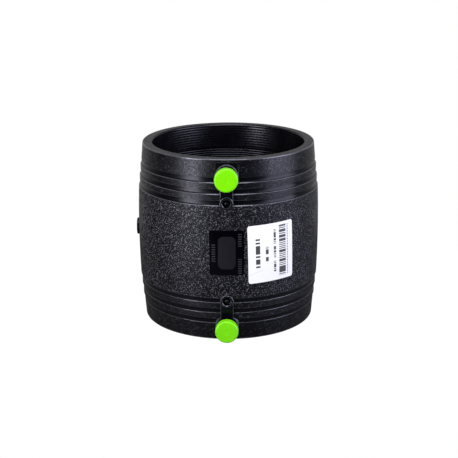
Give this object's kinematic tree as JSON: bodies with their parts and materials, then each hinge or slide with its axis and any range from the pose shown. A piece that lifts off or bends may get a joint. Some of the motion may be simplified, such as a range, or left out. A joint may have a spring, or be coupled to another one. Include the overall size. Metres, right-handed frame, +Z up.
{
  "type": "electrofusion coupler",
  "caption": "Straight moulded polyethylene pipe coupler with buried heating windings, shrouded welding terminals, push-on caps and fusion indicators.",
  "frame": {"origin": "centre of the bore in the plane of the lower end", "axes": "+Z up along the bore, -Y out along both welding terminals"},
  "size_m": [0.1536, 0.1648, 0.15],
  "materials": {
    "body_black": "spark-textured black polyethylene",
    "winding": "wire under a thin skin of black polyethylene",
    "pin_brass": "turned, tinned",
    "cap_lime": "soft moulded lime green",
    "indicator_black": "smooth moulded",
    "label_paper": "coated white paper"
  },
  "bodies": {
    "coupler": {"coupler_body": "body_black", "heating_coil": "winding", "terminal_pin_upper": "pin_brass", "terminal_pin_lower": "pin_brass", "label": "label_paper"},
    "upper_cap": {"terminal_cap_upper": "cap_lime"},
    "lower_cap": {"terminal_cap_lower": "cap_lime"},
    "upper_indicator": {"indicator_pin_upper": "indicator_black"},
    "lower_indicator": {"indicator_pin_lower": "indicator_black"}
  },
  "joints": [
    {"name": "upper_cap_pull", "type": "slide", "parent": "coupler", "child": "upper_cap", "axis": [0, -1, 0], "range_m": [0, 0.03]},
    {"name": "lower_cap_pull", "type": "slide", "parent": "coupler", "child": "lower_cap", "axis": [0, -1, 0], "range_m": [0, 0.03]},
    {"name": "upper_indicator_rise", "type": "slide", "parent": "coupler", "child": "upper_indicator", "axis": [0, -1, 0], "range_m": [0, 0.003]},
    {"name": "lower_indicator_rise", "type": "slide", "parent": "coupler", "child": "lower_indicator", "axis": [0, -1, 0], "range_m": [0, 0.003]}
  ]
}
